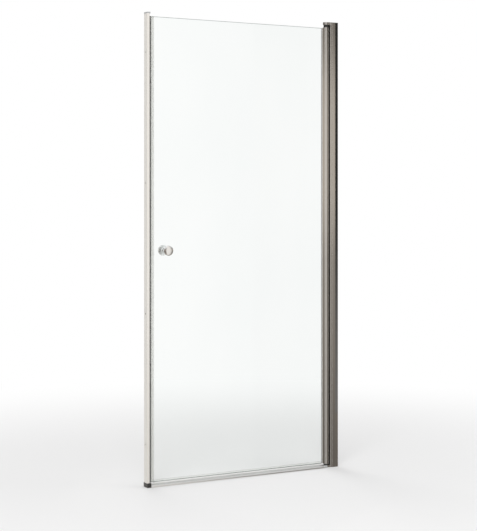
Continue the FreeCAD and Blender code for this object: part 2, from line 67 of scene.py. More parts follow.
# Sections of the metal profiles
channel_wall = 1.9 * mm
channel_web = 1.8 * mm
channel_crown = 0.8 * mm
wall_hole_radius = 2.75 * mm
wall_hole_end_distance = 170 * mm
wall_hole_count = 4
post_wall = 1.6 * mm
post_nose_wall = 1.8 * mm
post_nose_radius = 3.0 * mm
stile_lip_wall = 2.15 * mm
stile_lip_edge = 1.2 * mm
stile_root_radius = 2.5 * mm
stile_web = 2.0 * mm
barrel_wall = 2.0 * mm
cover_wall = 1.6 * mm
cover_face = 1.8 * mm
cover_crown = 0.4 * mm
bar_edge_height = 2.0 * mm
bar_top_width = 20.0 * mm
bar_hollow_width = 24.0 * mm
bar_wall = 1.4 * mm
bar_bulge = 1.7 * mm
profile_edge = 0.4 * mm

# Seal slots and seals
slot_neck = 1.3 * mm
slot_head = 3.1 * mm
slot_depth = 1.8 * mm
slot_edge = 0.2 * mm
slot_boss_wall = 1.6 * mm
seal_clearance = 0.1 * mm
clip_wall = 1.1 * mm
clip_clearance = 0.1 * mm
clip_edge = 0.4 * mm
clip_tip_edge = 0.5 * mm
seal_nose_edge = 0.6 * mm
gasket_wall = 1.0 * mm
gasket_bead = 1.6 * mm
gasket_bead_step = 1.075 * mm
gasket_bead_edge = 1.0 * mm
pocket_edge = 0.3 * mm
glass_clearance = 0.05 * mm

# Glass, caps and screws
glass_corner = 1.5 * mm
glass_arris = 1.2 * mm
glass_hole_radius = 6.0 * mm
moulded_edge = 0.5 * mm
cast_edge = 0.4 * mm
screw_head_radius = 3.5 * mm
screw_hole_radius = 1.8 * mm
snap_cap_radius = 5.2 * mm
snap_cap_height = 3.4 * mm
snap_cap_edge = 1.5 * mm

# Knobs
knob_seat = 4.0 * mm
knob_seat_edge = 0.6 * mm
knob_base_radius = 13.0 * mm
knob_base_height = 4.0 * mm
knob_round_edge = 1.6 * mm
knob_neck_radius = 7.0 * mm
knob_neck_length = 13.0 * mm
knob_neck_foot = 2.0 * mm
knob_neck_flare = 5.0 * mm
knob_rim_height = 5.0 * mm
knob_dome_power = 2.4
knob_tip_radius = 0.01 * mm
grub_screw_radius = 1.45 * mm
grub_hole_radius = 1.5 * mm
grub_screw_length = 4.0 * mm
grub_screw_sink = 0.3 * mm
grub_socket_radius = 0.85 * mm
grub_socket_depth = 1.5 * mm
grub_socket_sides = 6

# Meshes: small distances, steps of round shapes, and the angles in degrees that part flat from sharp
drill_overrun = 1.0 * mm
weld_distance = 0.001 * mm
root_steps = 8
barrel_steps = 96
chamber_steps = 64
snap_cap_steps = 48
knob_edge_steps = 10
knob_dome_steps = 28
flat_angle = 0.5
eased_angle = 30
sharp_angle = 32
glass_rim_angle = 60
# A face of the pane whose normal has more than this along Y is one of its two clear faces.
pane_normal = 0.99

# Surface marks: their scales per metre along X, Y and Z, their depths, and the range of noise in use
drawn_upright = (900, 900, 2.5)
drawn_across = (2.5, 900, 900)
turned_marks = (900, 900, 900)
cast_marks = (70, 70, 70)
moulded_clouds = (60, 60, 60)
extruded_lines = (700, 700, 1.5)
glass_film = (3, 3, 2)
ground_pits = (2500, 2500, 2500)
fine_relief = 0.02 * mm
grain_relief = 0.05 * mm
noise_low = 0.3
noise_high = 0.7

# The studio's white background, its floor, its round wall and the dark flags on that wall
white = (1, 1, 1)
white_soft_level = 0.6
floor_colour = (0.9, 0.9, 0.9)
floor_radius = 6
floor_drop = 0.3 * mm
floor_fade = (0.7, 3.0)
wall_colour = (0.47, 0.42, 0.365)
wall_top_colour = (0.95, 0.95, 0.95)
wall_radius = 8
wall_depth = 60
flag_colour = (0.02, 0.018, 0.016)
flag_angles = (113, 125, 140, 152)
card_colour = (1, 0.96, 0.91)

# Smooth steps up the wall: the heights where each starts and ends, and the shares before and after it
wall_foot = (-3.2, -2.0, 3, 1)
wall_lower = (-1.9, 0.5, 0.5, 1)
wall_middle = (0.4, 1.25, 0.53, 1)
wall_upper = (2.0, 3.0, 1, 0.33)
wall_top = (4.0, 5.0, 0, 1)
flag_foot = (-2.6, -1.9, 0, 1)
flag_head = (3.2, 4.0, 1, 0)

# The photograph's camera
photo_height = 531
camera_place = Vector((-2.777, -4.966, 1.163))
camera_yaw = 28.97
camera_focal_pixels = 1376
camera_horizon_pixel = 194.8


# Outlines

def arc(centre, radius, start, end, steps):
    """Points on a circle between two angles in degrees."""
    angles = [math.radians(start + (end - start) * i / steps) for i in range(steps + 1)]
    return [(centre[0] + radius * math.cos(a), centre[1] + radius * math.sin(a)) for a in angles]


def circle(centre, radius, steps=48):
    """Points of a full circle."""
    return arc(centre, radius, 0, 360 * (steps - 1) / steps, steps - 1)


def bowed(a, b, rise, steps=24):
    """Points of a shallow arc from a to b that stands out to the right of the straight line."""
    along = Vector(b) - Vector(a)
    chord = along.length
    along.normalize()
    outward = Vector((along.y, -along.x))
    radius = (chord**2 / 4 + rise**2) / (2 * rise)
    half = math.asin(chord / 2 / radius)
    middle = (Vector(a) + Vector(b)) / 2
    points = []
    for i in range(steps + 1):
        turn = half * (2 * i / steps - 1)
        lift = radius * math.cos(turn) - radius + rise
        points.append(tuple(middle + along * radius * math.sin(turn) + outward * lift))
    return points


def sharp(points):
    """Outline points that get no rounding."""
    return [(x, y, 0) for x, y in points]


def mirrored(half):
    """Half an outline of (x, y, radius) corners, closed by its mirror image across the X axis."""
    return half + [(x, -y, r) for x, y, r in half[::-1]]


def rounded(corners, steps=6):
    """A closed outline from (x, y, radius) corners, where each radius becomes an arc."""
    points = []
    for i, (x, y, radius) in enumerate(corners):
        corner = Vector((x, y))
        if radius == 0:
            points.append((x, y))
            continue
        before = (Vector(corners[i - 1][:2]) - corner).normalized()
        after = (Vector(corners[(i + 1) % len(corners)][:2]) - corner).normalized()
        half = before.angle(after) / 2
        centre = corner + (before + after).normalized() * radius / math.sin(half)
        start = corner + before * radius / math.tan(half) - centre
        end = corner + after * radius / math.tan(half) - centre
        first = math.degrees(math.atan2(start.y, start.x))
        last = math.degrees(math.atan2(end.y, end.x))
        turn = (last - first + 180) % 360 - 180
        points += arc(centre, radius, first, first + turn, steps)
    return points


# Places of a point (u, v) of an outline, at a distance w along an axis

def along_x(u, v, w):
    return Vector((w, u, v))


def along_y(u, v, w):
    return Vector((u, w, v))


def along_z(u, v, w):
    return Vector((u, v, w))


# Solids

def extruded(outline, holes, place, low, high):
    """A closed bar with the given section between two ends."""
    bm = bmesh.new()
    edges = []
    for loop in [outline, *holes]:
        verts = [bm.verts.new(place(u, v, low)) for u, v in loop]
        edges += [bm.edges.new((verts[i - 1], verts[i])) for i in range(len(verts))]
    filled = bmesh.ops.triangle_fill(bm, use_beauty=True, edges=edges)
    section = [g for g in filled["geom"] if isinstance(g, bmesh.types.BMFace)]
    grown = bmesh.ops.extrude_face_region(bm, geom=section)
    moved = [g for g in grown["geom"] if isinstance(g, bmesh.types.BMVert)]
    bmesh.ops.translate(bm, verts=moved, vec=place(0, 0, high) - place(0, 0, low))
    bmesh.ops.recalc_face_normals(bm, faces=bm.faces)
    return bm


def turned(profile, place, steps=96):
    """A body of revolution from (distance along the axis, radius) points, placed by a function."""
    bm = bmesh.new()
    rings = []
    for distance, radius in profile:
        count = steps if radius > 0 else 1
        angles = [2 * math.pi * i / steps for i in range(count)]
        spots = [(radius * math.cos(a), radius * math.sin(a)) for a in angles]
        rings.append([bm.verts.new(place(u, v, distance)) for u, v in spots])
    for low, high in zip(rings, rings[1:]):
        for i in range(steps):
            j = (i + 1) % steps
            corners = [low[i % len(low)], low[j % len(low)], high[j % len(high)], high[i % len(high)]]
            unique = list(dict.fromkeys(corners))
            if len(unique) > 2:
                bm.faces.new(unique)
    bmesh.ops.recalc_face_normals(bm, faces=bm.faces)
    return bm


def sharp_edges(bm, angle):
    """The edges of a solid whose faces turn by more than an angle in degrees."""
    limit = math.radians(angle)
    return [e for e in bm.edges if e.is_manifold and e.calc_face_angle() > limit]


def eased(bm, radius):
    """Rounds every sharp edge of a solid."""
    bmesh.ops.dissolve_limit(bm, angle_limit=math.radians(flat_angle), verts=bm.verts, edges=bm.edges)
    edges = sharp_edges(bm, eased_angle)
    bmesh.ops.bevel(bm, geom=edges, offset=radius, segments=3, profile=0.5, affect="EDGES",
                    clamp_overlap=True)
    return bm


def node_copy(node):
    """The solid of a CAD node, as new geometry in the same place."""
    bm = bmesh.new()
    bm.from_mesh(frame["nodes"][node].data)
    bmesh.ops.remove_doubles(bm, verts=bm.verts, dist=weld_distance)
    return bm


def new_object(name, bm):
    """An object with the given geometry."""
    mesh = bpy.data.meshes.new(name)
    bm.to_mesh(mesh)
    bm.free()
    made = bpy.data.objects.new(name, mesh)
    bpy.context.collection.objects.link(made)
    return made


def bore(centre, radius, place, low, high):
    """A round bar to drill with, which runs a little past both faces."""
    return extruded(circle(centre, radius), [], place, low - drill_overrun, high + drill_overrun)


def drilled(bm, bars):
    """Geometry less a set of bars, all given as geometry."""
    target = new_object("passing", bm)
    cutters = [new_object("passing", bar) for bar in bars]
    for cutter in cutters:
        cut = target.modifiers.new("hole", "BOOLEAN")
        cut.object = cutter
        cut.operation = "DIFFERENCE"
        cut.solver = "EXACT"
    ready = target.evaluated_get(bpy.context.evaluated_depsgraph_get())
    result = bmesh.new()
    result.from_mesh(ready.data)
    for spare in [target, *cutters]:
        mesh = spare.data
        bpy.data.objects.remove(spare)
        bpy.data.meshes.remove(mesh)
    return result


def flatten_normals(made):
    """Keeps the normals of flat faces square to them, so that only the rounded edges between blend."""
    weighted = made.modifiers.new("normals", "WEIGHTED_NORMAL")
    weighted.keep_sharp = True
    plain = made.data
    ready = made.evaluated_get(bpy.context.evaluated_depsgraph_get())
    made.data = bpy.data.meshes.new_from_object(ready)
    made.modifiers.clear()
    bpy.data.meshes.remove(plain)
    made.data.name = made.name


def piece(name, bm, body, material, nodes, flat=False):
    """Turns geometry into a named piece that rides on a body and stands for CAD nodes."""
    made = new_object(name, bm)
    made.data.materials.append(material)
    if flat:
        made.data.shade_flat()
    else:
        made.data.shade_smooth()
        made.data.set_sharp_from_angle(angle=math.radians(sharp_angle))
        flatten_normals(made)
    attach(made, body)
    if nodes:
        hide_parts(*nodes)
    return made


# Materials

def new_material(slot):
    """A new material that knows the record's slot it stands for."""
    material = bpy.data.materials.new(f"{slot}_finish")
    material["slot"] = slot
    material.use_nodes = True
    tree = material.node_tree
    return material, tree, tree.nodes["Principled BSDF"]


def noise(tree, stretch, detail=3):
    """Noise in the object's own coordinates, with a scale for each axis."""
    coords = tree.nodes.new("ShaderNodeTexCoord")
    mapping = tree.nodes.new("ShaderNodeMapping")
    mapping.inputs["Scale"].default_value = stretch
    texture = tree.nodes.new("ShaderNodeTexNoise")
    texture.inputs["Scale"].default_value = 1
    texture.inputs["Detail"].default_value = detail
    tree.links.new(coords.outputs["Object"], mapping.inputs["Vector"])
    tree.links.new(mapping.outputs["Vector"], texture.inputs["Vector"])
    return texture.outputs["Fac"]


def spread(tree, value, low, high):
    """Noise spread over a range of values."""
    node = tree.nodes.new("ShaderNodeMapRange")
    node.inputs["From Min"].default_value = noise_low
    node.inputs["From Max"].default_value = noise_high
    node.inputs["To Min"].default_value = low
    node.inputs["To Max"].default_value = high
    tree.links.new(value, node.inputs["Value"])
    return node.outputs["Result"]


def tinted(tree, value, dark, light):
    """Noise spread between two colours."""
    ramp = tree.nodes.new("ShaderNodeValToRGB")
    ramp.color_ramp.elements[0].position = noise_low
    ramp.color_ramp.elements[1].position = noise_high
    ramp.color_ramp.elements[0].color = (*dark, 1)
    ramp.color_ramp.elements[1].color = (*light, 1)
    tree.links.new(value, ramp.inputs["Fac"])
    return ramp.outputs["Color"]


def bumped(tree, value, strength, distance):
    """A surface normal from noise."""
    node = tree.nodes.new("ShaderNodeBump")
    node.inputs["Strength"].default_value = strength
    node.inputs["Distance"].default_value = distance
    tree.links.new(value, node.inputs["Height"])
    return node.outputs["Normal"]


def metal(slot, dark, light, smooth, rough, stretch, relief):
    """A metal whose colour, gloss and relief follow fine marks."""
    material, tree, shader = new_material(slot)
    marks = noise(tree, stretch)
    shader.inputs["Metallic"].default_value = 1
    tree.links.new(tinted(tree, marks, dark, light), shader.inputs["Base Color"])
    tree.links.new(spread(tree, marks, smooth, rough), shader.inputs["Roughness"])
    tree.links.new(bumped(tree, marks, relief, fine_relief), shader.inputs["Normal"])
    return material


def moulding(slot, dark, light, smooth, rough, grain):
    """A moulded plastic or rubber with a fine grain."""
    material, tree, shader = new_material(slot)
    cloud = noise(tree, moulded_clouds)
    speckle = noise(tree, (grain, grain, grain), detail=2)
    tree.links.new(tinted(tree, cloud, dark, light), shader.inputs["Base Color"])
    tree.links.new(spread(tree, speckle, smooth, rough), shader.inputs["Roughness"])
    grained = bumped(tree, speckle, strength=0.25, distance=grain_relief)
    tree.links.new(grained, shader.inputs["Normal"])
    return material


def clear_soft(slot, dark, light, clearness, smooth, rough):
    """A clear soft plastic with the faint lines of its extrusion."""
    material, tree, shader = new_material(slot)
    lines = noise(tree, extruded_lines, detail=2)
    shader.inputs["Transmission Weight"].default_value = clearness
    shader.inputs["IOR"].default_value = 1.45
    tree.links.new(tinted(tree, lines, dark, light), shader.inputs["Base Color"])
    tree.links.new(spread(tree, lines, smooth, rough), shader.inputs["Roughness"])
    return material


def float_glass(slot):
    """Clear toughened glass, faintly green in its depth, with the least film on its faces."""
    material, tree, shader = new_material(slot)
    shader.inputs["Transmission Weight"].default_value = 1
    shader.inputs["Roughness"].default_value = 0
    shader.inputs["IOR"].default_value = 1.5
    film = noise(tree, glass_film)
    tint = tinted(tree, film, dark=(0.955, 0.97, 0.965), light=(0.975, 0.985, 0.98))
    tree.links.new(tint, shader.inputs["Base Color"])
    depth = tree.nodes.new("ShaderNodeVolumeAbsorption")
    depth.inputs["Color"].default_value = (0.62, 0.84, 0.75, 1)
    depth.inputs["Density"].default_value = 4
    tree.links.new(depth.outputs["Volume"], tree.nodes["Material Output"].inputs["Volume"])
    return material


def ground_glass(slot):
    """The ground edge of the pane: matt, grey-green and finely pitted."""
    material, tree, shader = new_material(slot)
    pits = noise(tree, ground_pits, detail=2)
    shader.inputs["Transmission Weight"].default_value = 0.5
    shader.inputs["IOR"].default_value = 1.5
    tint = tinted(tree, pits, dark=(0.10, 0.15, 0.13), light=(0.15, 0.20, 0.18))
    pitted = bumped(tree, pits, strength=0.3, distance=fine_relief)
    tree.links.new(tint, shader.inputs["Base Color"])
    tree.links.new(spread(tree, pits, low=0.4, high=0.6), shader.inputs["Roughness"])
    tree.links.new(pitted, shader.inputs["Normal"])
    return material


aluminium = metal("polished_aluminium", dark=(0.84, 0.835, 0.825), light=(0.89, 0.885, 0.875),
                  smooth=0.08, rough=0.14, stretch=drawn_upright, relief=0.1)
satin = metal("satin_aluminium", dark=(0.72, 0.725, 0.72), light=(0.79, 0.795, 0.79),
              smooth=0.30, rough=0.38, stretch=drawn_across, relief=0.2)
chrome = metal("chrome", dark=(0.82, 0.82, 0.82), light=(0.86, 0.86, 0.86),
               smooth=0.18, rough=0.24, stretch=cast_marks, relief=0.03)
chrome_cap = metal("chrome_cap", dark=(0.74, 0.74, 0.73), light=(0.80, 0.80, 0.79),
                   smooth=0.08, rough=0.15, stretch=cast_marks, relief=0.05)
steel = metal("steel", dark=(0.50, 0.50, 0.51), light=(0.62, 0.62, 0.63),
              smooth=0.25, rough=0.35, stretch=turned_marks, relief=0.15)
grey_plastic = moulding("grey_plastic", dark=(0.42, 0.43, 0.43), light=(0.47, 0.48, 0.48),
                        smooth=0.36, rough=0.48, grain=1400)
dark_plastic = moulding("dark_plastic", dark=(0.022, 0.022, 0.022), light=(0.035, 0.035, 0.034),
                        smooth=0.34, rough=0.46, grain=1400)
black_plastic = moulding("black_plastic", dark=(0.012, 0.012, 0.012), light=(0.02, 0.02, 0.02),
                         smooth=0.3, rough=0.42, grain=1400)
black_rubber = moulding("black_rubber", dark=(0.016, 0.015, 0.014), light=(0.026, 0.025, 0.023),
                        smooth=0.5, rough=0.65, grain=900)
magnet = moulding("magnet", dark=(0.035, 0.034, 0.032), light=(0.05, 0.048, 0.045),
                  smooth=0.5, rough=0.65, grain=700)
clear_pvc = clear_soft("clear_pvc", dark=(0.86, 0.86, 0.84), light=(0.91, 0.91, 0.895),
                       clearness=0.93, smooth=0.12, rough=0.2)
clear_strip = clear_soft("clear_pvc", dark=(0.95, 0.955, 0.945), light=(0.98, 0.985, 0.975),
                         clearness=1.0, smooth=0.03, rough=0.07)
clear_gasket = clear_soft("clear_gasket", dark=(0.76, 0.75, 0.74), light=(0.82, 0.81, 0.80),
                          clearness=0.3, smooth=0.3, rough=0.4)
glass = float_glass("glass")
glass_edge = ground_glass("glass")

# Pieces of the fixed frame
pivot = Vector(frame["joints"][0]["pos_m"])
glass_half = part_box("door_glass")[1].y


def slot_notch(face, deeper):
    """The T-shaped notch of a seal slot in a face, for an outline that runs along it towards +Y."""
    sign = math.copysign(1, deeper)
    neck_end = face + deeper
    head_end = neck_end + sign * slot_depth
    half = [(face, -slot_neck, slot_edge), (neck_end, -slot_neck, 0)]
    half += [(neck_end, -slot_head, 0), (head_end, -slot_head, 0)]
    return mirrored(half)


def screw_heights():
    """Heights of the post's locking screws."""
    lo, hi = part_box("post_fixing_screws")
    first = lo.z + screw_head_radius
    last = hi.z - screw_head_radius
    return [first, (first + last) / 2, last]


def make_channel():
    """The crowned channel on the hinge side's wall, drilled for its wall screws and the locking screws."""
    lo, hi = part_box("hinge_wall_channel")
    edge = hi.y - channel_crown
    inner = hi.y - channel_wall
    web = hi.x - channel_web
    front = bowed((lo.x, -edge), (hi.x, -edge), channel_crown)
    back = bowed((hi.x, edge), (lo.x, edge), channel_crown)
    corners = [(lo.x, -edge, profile_edge), *sharp(front[1:-1]), (hi.x, -edge, profile_edge)]
    corners += [(hi.x, edge, profile_edge), *sharp(back[1:-1]), (lo.x, edge, profile_edge)]
    corners += mirrored([(lo.x, inner, profile_edge), (web, inner, 0)])
    bar = extruded(rounded(corners), [], along_z, lo.z, hi.z)
    first = wall_hole_end_distance
    step = (cad_box[1].z - 2 * first) / (wall_hole_count - 1)
    heights = [first + step * i for i in range(wall_hole_count)]
    holes = [bore((0, z), wall_hole_radius, along_x, web, hi.x) for z in heights]
    screw_x = (lo.x + hi.x) / 2
    holes += [bore((screw_x, z), screw_hole_radius, along_y, inner, hi.y) for z in screw_heights()]
    piece("wall_channel", drilled(bar, holes), fixed, aluminium, ["hinge_wall_channel"])


def make_post():
    """The hollow post that slides in the channel, with a seal slot in its nose."""
    lo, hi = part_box("hinge_post")
    nose = post_nose_radius
    corners = [(lo.x, lo.y, nose), (hi.x, lo.y, profile_edge)]
    corners += [(hi.x, hi.y, profile_edge), (lo.x, hi.y, nose)]
    corners += [(x, -y, r) for x, y, r in slot_notch(lo.x, post_nose_wall)]
    front = lo.x + post_nose_wall
    boss = front + slot_depth + slot_boss_wall
    boss_half = slot_head + slot_boss_wall
    back = hi.x - post_wall
    inner = hi.y - post_wall
    half = [(boss, boss_half, 0), (front, boss_half, 0), (front, inner, 0), (back, inner, 0)]
    hollow = rounded(mirrored(half))
    bar = extruded(rounded(corners), [hollow], along_z, lo.z, hi.z)
    piece("post", bar, fixed, aluminium, ["hinge_post"])


def make_wiper():
    """The soft seal in the post's slot, with a bulb towards the stile."""
    lo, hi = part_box("hinge_wiper_seal")
    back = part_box("hinge_post")[0].x - seal_clearance
    bulb = bowed((back, slot_head), (back, -slot_head), back - lo.x)
    neck = slot_neck - seal_clearance
    head = slot_head - seal_clearance
    step = hi.x - slot_depth + 2 * seal_clearance
    half = [(back, -neck, 0), (step, -neck, 0), (step, -head, 0), (hi.x, -head, 0)]
    bar = extruded(bulb + rounded(mirrored(half)), [], along_z, lo.z, hi.z)
    piece("wiper_seal", bar, fixed, black_rubber, ["hinge_wiper_seal"])


def make_strike_cover():
    """The crowned cover of the strike post, open to the wall, with a seal slot in its face."""
    lo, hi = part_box("strike_cover")
    edge = hi.y - cover_crown
    inner = edge - cover_wall
    inner_x = hi.x - cover_face
    boss = inner_x - slot_depth - slot_boss_wall
    boss_half = slot_head + slot_boss_wall
    front = bowed((lo.x, -edge), (hi.x, -edge), cover_crown)
    back = bowed((hi.x, edge), (lo.x, edge), cover_crown)
    corners = [(lo.x, -edge, 0), *sharp(front[1:-1]), (hi.x, -edge, profile_edge)]
    corners += slot_notch(hi.x, -cover_face)
    corners += [(hi.x, edge, profile_edge), *sharp(back[1:-1]), (lo.x, edge, 0)]
    half = [(lo.x, inner), (inner_x, inner), (inner_x, boss_half), (boss, boss_half)]
    corners += mirrored(sharp(half))
    bar = extruded(rounded(corners), [], along_z, lo.z, hi.z)
    piece("strike_post", bar, fixed, aluminium, ["strike_cover"])


def make_threshold():
    """The hollow bar on the floor, with bulging flanks."""
    lo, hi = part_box("threshold_bar")
    top = bar_top_width / 2
    back = bowed((hi.y, bar_edge_height), (top, hi.z), bar_bulge)
    front = bowed((-top, hi.z), (lo.y, bar_edge_height), bar_bulge)
    outline = [(lo.y, lo.z), (hi.y, lo.z), *back, *front]
    side = bar_hollow_width / 2
    ceiling = hi.z - bar_wall
    hollow = [(side, bar_wall), (side, ceiling), (-side, ceiling), (-side, bar_wall)]
    bar = extruded(outline, [hollow], along_x, lo.x, hi.x)
    piece("threshold", bar, fixed, satin, ["threshold_bar"])


def make_brackets_and_caps():
    """Cast and moulded pieces: their CAD solids with rounded edges."""
    for node, name, edge, body, material in (
        ("top_pivot_bracket", "top_bracket", cast_edge, fixed, chrome),
        ("bottom_pivot_bracket", "bottom_bracket", cast_edge, fixed, chrome),
        ("channel_top_cap", "channel_cap", moulded_edge / 2, fixed, chrome_cap),
        ("strike_top_cap", "strike_cap", moulded_edge, fixed, grey_plastic),
        ("strike_foot", "strike_shoe", moulded_edge, fixed, dark_plastic),
        ("threshold_end_cap", "threshold_cap", moulded_edge / 2, fixed, grey_plastic),
        ("stile_end_caps", "stile_caps", moulded_edge, leaf, chrome_cap),
        ("pivot_bushes", "bushes", moulded_edge / 2, leaf, black_plastic),
    ):
        piece(name, eased(node_copy(node), edge), body, material, [node])


def make_snap_caps():
    """Round caps over the heads of the locking screws."""
    lo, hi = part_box("post_fixing_screws")
    x = (lo.x + hi.x) / 2
    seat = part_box("hinge_wall_channel")[1].y
    top = seat + snap_cap_height
    corners = [(seat, 0, 0), (seat, snap_cap_radius, 0)]
    corners += [(top, snap_cap_radius, snap_cap_edge), (top, 0, 0)]
    for i, z in enumerate(screw_heights()):
        body = turned(rounded(corners), lambda u, v, w: Vector((x + u, w, z + v)), snap_cap_steps)
        piece(f"snap_cap_{i + 1}", body, fixed, grey_plastic, [])


# Pieces of the leaf

def make_stile():
    """The round pivot stile, with a chamber for the bushes and two lips that hold the glass."""
    lo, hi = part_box("hinge_stile")
    barrel = hi.y
    pocket_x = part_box("glazing_gasket")[1].x
    pocket = glass_half + gasket_wall + 2 * glass_clearance
    lip = pocket + stile_lip_wall
    root = stile_root_radius
    drop = lip + root
    back = math.sqrt((barrel + root) ** 2 - drop**2)
    lean = math.degrees(math.atan2(drop, back))
    corners = [(lo.x, -lip, stile_lip_edge)]
    corners += sharp(arc((pivot.x - back, -drop), root, 90, lean, root_steps))
    corners += sharp(arc((pivot.x, 0), barrel, lean - 180, 180 - lean, barrel_steps)[1:-1])
    corners += sharp(arc((pivot.x - back, drop), root, -lean, -90, root_steps))
    corners += [(lo.x, lip, stile_lip_edge)]
    corners += mirrored([(lo.x, pocket, pocket_edge), (pocket_x, pocket, 0)])
    chamber = barrel - barrel_wall
    flat = math.degrees(math.acos((pocket_x + stile_web - pivot.x) / chamber))
    hollow = arc((pivot.x, 0), chamber, -flat, flat, chamber_steps)
    bar = extruded(rounded(corners), [hollow], along_z, lo.z, hi.z)
    piece("pivot_stile", bar, leaf, aluminium, ["hinge_stile"])


def make_gasket():
    """The U-shaped gasket between glass and stile, with a bead on each side."""
    lo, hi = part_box("glazing_gasket")
    inner = glass_half + glass_clearance
    outer = inner + gasket_wall
    lip = lo.x + gasket_bead
    bead = outer + gasket_bead_step
    half = [(hi.x - gasket_wall, inner, 0), (lo.x, inner, pocket_edge)]
    half += [(lo.x, bead, gasket_bead_edge), (lip, bead, 0), (lip, outer, 0), (hi.x, outer, 0)]
    bar = extruded(rounded(mirrored(half)), [], along_z, lo.z, hi.z)
    piece("gasket", bar, leaf, clear_gasket, ["glazing_gasket"])


def make_edge_seal():
    """The closing seal, clipped on the edge of the glass, with a pocket for its magnet."""
    lo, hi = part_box("edge_seal")
    pocket_lo, pocket_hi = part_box("edge_magnet")
    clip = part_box("door_glass")[0].x - clip_clearance
    inner = glass_half + clip_clearance
    outer = inner + clip_wall
    half = [(clip, inner, 0), (hi.x, inner, clip_edge), (hi.x, outer, clip_tip_edge), (clip, outer, 0)]
    half += [(clip, hi.y, clip_edge), (lo.x, hi.y, seal_nose_edge)]
    x0 = pocket_lo.x - glass_clearance
    x1 = pocket_hi.x + glass_clearance
    side = pocket_hi.y + glass_clearance
    hollow = [(x0, -side), (x1, -side), (x1, side), (x0, side)]
    bar = extruded(rounded(mirrored(half)), [hollow], along_z, lo.z, hi.z)
    piece("closing_seal", bar, leaf, clear_pvc, ["edge_seal"])


def make_glass():
    """The pane, with its knob hole, rounded corners and ground edges."""
    lo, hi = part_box("door_glass")
    knob_lo, knob_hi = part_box("door_knobs")
    centre = ((knob_lo.x + knob_hi.x) / 2, (knob_lo.z + knob_hi.z) / 2)
    spots = [(lo.x, lo.z), (hi.x, lo.z), (hi.x, hi.z), (lo.x, hi.z)]
    outline = rounded([(x, z, glass_corner) for x, z in spots])
    plate = extruded(outline, [circle(centre, glass_hole_radius)], along_y, lo.y, hi.y)
    rims = sharp_edges(plate, glass_rim_angle)
    bmesh.ops.bevel(plate, geom=rims, offset=glass_arris, segments=2, profile=0.5, affect="EDGES")
    pane = piece("glass_pane", plate, leaf, glass, ["door_glass"], flat=True)
    pane.visible_shadow = False
    pane.visible_diffuse = False
    pane.data.materials.append(glass_edge)
    for face in pane.data.polygons:
        face.material_index = 0 if abs(face.normal.y) > pane_normal else 1


def knob_profile(tip):
    """A mushroom knob from its seat to its tip: flanged base, waisted neck, and a domed head."""
    neck = knob_seat + knob_base_height
    rim = neck + knob_neck_length
    dome = rim + knob_rim_height
    head = (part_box("door_knobs")[1].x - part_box("door_knobs")[0].x) / 2
    corners = [(knob_seat, 0, 0), (knob_seat, knob_base_radius, knob_seat_edge)]
    corners += [(neck, knob_base_radius, knob_round_edge), (neck, knob_neck_radius, knob_neck_foot)]
    corners += [(rim, knob_neck_radius, knob_neck_flare), (rim, head, knob_round_edge)]
    corners += [(dome, head, 0), (dome, 0, 0)]
    body = rounded(corners, knob_edge_steps)[:-1]
    power = 2 / knob_dome_power
    for i in range(1, knob_dome_steps + 1):
        turn = math.radians(90 * i / knob_dome_steps)
        height = dome + (tip - dome) * math.sin(turn) ** power
        radius = head * max(math.cos(turn), 0) ** power
        body.append((height, radius if radius > knob_tip_radius else 0))
    return body


def make_knobs():
    """The two knobs back to back, the inner one drilled from below for its grub screw."""
    lo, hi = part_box("door_knobs")
    x = (lo.x + hi.x) / 2
    z = (lo.z + hi.z) / 2
    for name, side in (("outer_knob", -1), ("inner_knob", 1)):
        body = turned(knob_profile(hi.y), lambda u, v, w: Vector((x + u, side * w, z + v)))
        if name == "inner_knob":
            spot = (x, knob_seat + knob_base_height / 2)
            rim = z - knob_base_radius
            depth = grub_screw_length + grub_screw_sink
            hole = extruded(circle(spot, grub_hole_radius), [], along_z, rim - drill_overrun, rim + depth)
            body = drilled(body, [hole])
            make_grub_screw(spot, rim + grub_screw_sink)
        piece(name, body, leaf, chrome, ["door_knobs"])


def make_grub_screw(spot, low):
    """The small socket screw that locks the inner knob on its stud."""
    bar = extruded(circle(spot, grub_screw_radius), [], along_z, low, low + grub_screw_length)
    socket = circle(spot, grub_socket_radius, grub_socket_sides)
    key = extruded(socket, [], along_z, low - drill_overrun, low + grub_socket_depth)
    piece("grub_screw", drilled(bar, [key]), leaf, steel, [])


def dress_cad_nodes():
    """Finishes for the solids that show as they are."""
    for node, material in (
        ("pivot_pins", steel),
        ("post_fixing_screws", steel),
        ("strike_wall_profile", satin),
        ("strike_magnet_sleeve", clear_pvc),
        ("strike_magnet", magnet),
        ("edge_magnet", magnet),
        ("drip_seal", clear_strip),
        ("knob_stud", steel),
        ("knob_gaskets", clear_pvc),
    ):
        frame["nodes"][node].material_slots[0].material = material


# Studio

def smooth_step(tree, value, low, high, before, after):
    """A smooth step from one share to another while a value goes from low to high."""
    node = tree.nodes.new("ShaderNodeMapRange")
    node.interpolation_type = "SMOOTHSTEP"
    node.inputs["From Min"].default_value = low
    node.inputs["From Max"].default_value = high
    node.inputs["To Min"].default_value = before
    node.inputs["To Max"].default_value = after
    tree.links.new(value, node.inputs["Value"])
    return node.outputs["Result"]


def combined(tree, operation, a, b):
    """Two values of a tree combined by a maths operation."""
    node = tree.nodes.new("ShaderNodeMath")
    node.operation = operation
    tree.links.new(a, node.inputs[0])
    tree.links.new(b, node.inputs[1])
    return node.outputs["Value"]


def all_steps(tree, value, steps):
    """The product of several smooth steps of one value."""
    total = smooth_step(tree, value, *steps[0])
    for step in steps[1:]:
        total = combined(tree, "MULTIPLY", total, smooth_step(tree, value, *step))
    return total


